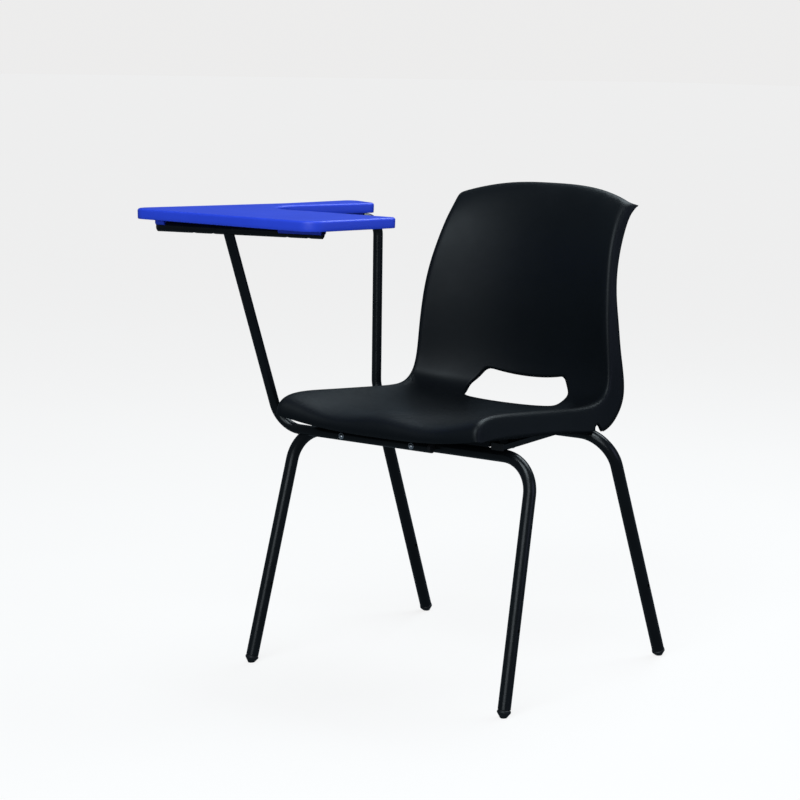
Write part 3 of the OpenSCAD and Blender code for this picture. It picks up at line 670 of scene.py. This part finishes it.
def rib_mesh(axis, value, start, end, low, high, thick=0.002):
    """A rib with a little draft, square to the axis."""
    rings = []
    for at in (start, end):
        ring = []
        for across, z in ((-0.5, high), (0.5, high), (0.36, low), (-0.36, low)):
            p = [0.0, 0.0, z]
            p[axis] = value + across * thick
            p[1 - axis] = at
            ring.append(p)
        rings.append(ring)
    return tube_mesh(rings)


def board_boss(spot, r=0.0065, bore=0.002, around=24):
    g = np.linspace(0, 2 * math.pi, around, endpoint=False)
    low, high = BAR_Z + ARM_R * 0.98, BOARD_TOP - PLATE_T + 0.001
    rings = []
    for radius, z in ((bore, high - 0.003), (bore, low), (r - 0.0005, low), (r, low + 0.0005), (r + 0.0004, high)):
        rings.append(np.c_[spot[0] + radius * np.cos(g), spot[1] + radius * np.sin(g), np.full(around, z)])
    return tube_mesh(rings)


def lug_mesh(line, t0, t1, down, half=0.013, corner=0.005):
    """A block with a round groove that the arm's tube lies in."""
    d = unit(line[1] - line[0])
    side = np.array([-d[1], d[0], 0])
    low = BOARD_LOW - down
    top = BOARD_TOP - PLATE_T + 0.001
    ends = [line[0] + (line[1] - line[0]) * t for t in (t0, t1)]
    drop = BAR_Z - low
    grip = ARM_R + 0.00005
    open_at = math.asin(max(-1, min(1, -drop / grip)))
    arc = np.linspace(open_at, math.pi - open_at, 25)
    groove = [(grip * math.cos(g), BAR_Z + grip * math.sin(g)) for g in arc]
    rounding = np.linspace(0, math.pi / 2, 5)
    right = [(half - corner + corner * math.cos(g), low + corner - corner * math.sin(g)) for g in rounding]
    left = [(-a, z) for a, z in right[::-1]]
    section = [(half - 0.001, top), *right, *groove, *left, (-half + 0.001, top)]
    rings = []
    for end, out in ((ends[0], -1), (ends[1], 1)):
        for back, shrink in ((0.0, 0.0008), (0.0008, 0.0)):
            p = end - d * out * back
            ring = [p + side * (a - math.copysign(shrink, a) if abs(a) > grip else a)
                    + np.array([0, 0, z - BAR_Z]) for a, z in section]
            rings.append(ring)
    rings[2], rings[3] = rings[3], rings[2]
    return tube_mesh(rings)


pan = new_piece("board", *board_pan(), BOARD)
soften(pan, 0.0002, 1, 60)
finish_piece(pan, "board", "writing_board")

inner = board_loop(WALL - 0.0005, 0)[:, :2]
rib_low, rib_high = BOARD_LOW + 0.003, BOARD_TOP - PLATE_T + 0.0005
ribs = [rib_mesh(0, x, a, b, rib_low, rib_high) for x in np.arange(-0.429, -0.06, 0.042)
        for a, b in spans(inner, 0, x)]
ribs += [rib_mesh(1, y, a, b, rib_low, rib_high) for y in np.arange(-0.299, 0.08, 0.045)
         for a, b in spans(inner, 1, y)]
ribs += [board_boss(p) for p in BOSS_SPOTS]
rib_piece = new_piece("board_ribs", *merge(ribs), BOARD, smooth=False)
finish_piece(rib_piece, "board", "writing_board")

lugs = [lug_mesh(BAR, 0.755, 1.015, 0.0135), lug_mesh(BAR, -0.012, 0.045, 0.009), lug_mesh(RUN, 0.1, 0.3, 0.014)]
lug_piece = new_piece("board_lugs", *merge(lugs), BOARD)
soften(lug_piece, 0.0005, 2, 40)
finish_piece(lug_piece, "board", "writing_board")

# ---- the other CAD nodes keep their shape ----
LOOKS = {
    COAT: ["front_leg_frame", "rear_leg_frame", "left_seat_rail", "right_seat_rail",
           "arm_front_tube", "arm_rear_tube", "arm_crossbar"],
    PLUG: ["seat_rail_plugs", "arm_tube_plugs", "crossbar_caps"],
    GLIDE: ["front_left_glide", "front_right_glide", "rear_left_glide", "rear_right_glide"],
    ZINC: ["seat_screws", "seat_washers", "arm_bolts", "arm_washers", "arm_nuts", "board_screws"],
}
for material, names in LOOKS.items():
    for name in names:
        mesh = nodes[name].data
        mesh.materials.clear()
        mesh.materials.append(material)


# ---- floor and light ----
def add_area(name, place, look_at, size, power, colour=(1, 1, 1)):
    data = bpy.data.lights.new(name, "AREA")
    data.shape = "RECTANGLE"
    data.size, data.size_y = size
    data.energy = power
    data.color = colour
    light = bpy.data.objects.new(name, data)
    light.location = Vector(place)
    light.rotation_euler = (Vector(look_at) - Vector(place)).to_track_quat("-Z", "Y").to_euler()
    scene.collection.objects.link(light)


def make_stage():
    mat, tree, bsdf, coords = tree_of("pale_floor")
    tone = ramp(tree, noise(tree, coords, 1.2, 2.0).outputs["Fac"], [(0.3, grey(0.19)), (0.7, grey(0.2))])
    tree.links.new(tone.outputs["Color"], bsdf.inputs["Base Color"])
    bsdf.inputs["Roughness"].default_value = 0.9
    bsdf.inputs["Specular IOR Level"].default_value = 0.05
    bsdf.inputs["Emission Color"].default_value = (0.93, 0.925, 0.92, 1)
    bsdf.inputs["Emission Strength"].default_value = 0.9
    mesh = bpy.data.meshes.new("floor")
    half = 40
    mesh.from_pydata([(-half, -half, 0), (half, -half, 0), (half, half, 0), (-half, half, 0)], [], [(0, 1, 2, 3)])
    floor = bpy.data.objects.new("floor", mesh)
    mesh.materials.append(mat)
    scene.collection.objects.link(floor)
    floor.visible_glossy = False  # the object is lit as a cut-out: the floor throws nothing back on it
    floor.visible_diffuse = False
    world = bpy.data.worlds.new("world")
    world.use_nodes = True
    wt = world.node_tree
    dim = wt.nodes["Background"]
    dim.inputs[0].default_value = (0.62, 0.82, 1.0, 1)
    dim.inputs[1].default_value = 0.13
    seen = wt.nodes.new("ShaderNodeBackground")
    seen.inputs[0].default_value = (0.845, 0.842, 0.84, 1)
    path = wt.nodes.new("ShaderNodeLightPath")
    mix = wt.nodes.new("ShaderNodeMixShader")
    wt.links.new(path.outputs["Is Camera Ray"], mix.inputs[0])
    wt.links.new(dim.outputs[0], mix.inputs[1])
    wt.links.new(seen.outputs[0], mix.inputs[2])
    wt.links.new(mix.outputs[0], wt.nodes["World Output"].inputs[0])
    scene.world = world
    mid = tuple(float(x) for x in SHIFT + np.array([0, 0, 0.5]))
    add_area("key", (0.9, -2.4, 3.5), mid, (2.2, 1.8), 66, (0.82, 0.94, 1.0))
    add_area("top", (0.3, 1.7, 3.0), mid, (2.6, 1.6), 58, (0.82, 0.94, 1.0))
    add_area("front", (1.3, -3.6, 1.5), mid, (2.4, 2.0), 34, (0.84, 0.94, 1.0))
    add_area("side", (3.4, 0.5, 1.3), mid, (1.8, 1.8), 9, (0.6, 0.64, 1.0))
    scene.view_settings.view_transform = "Standard"


make_stage()
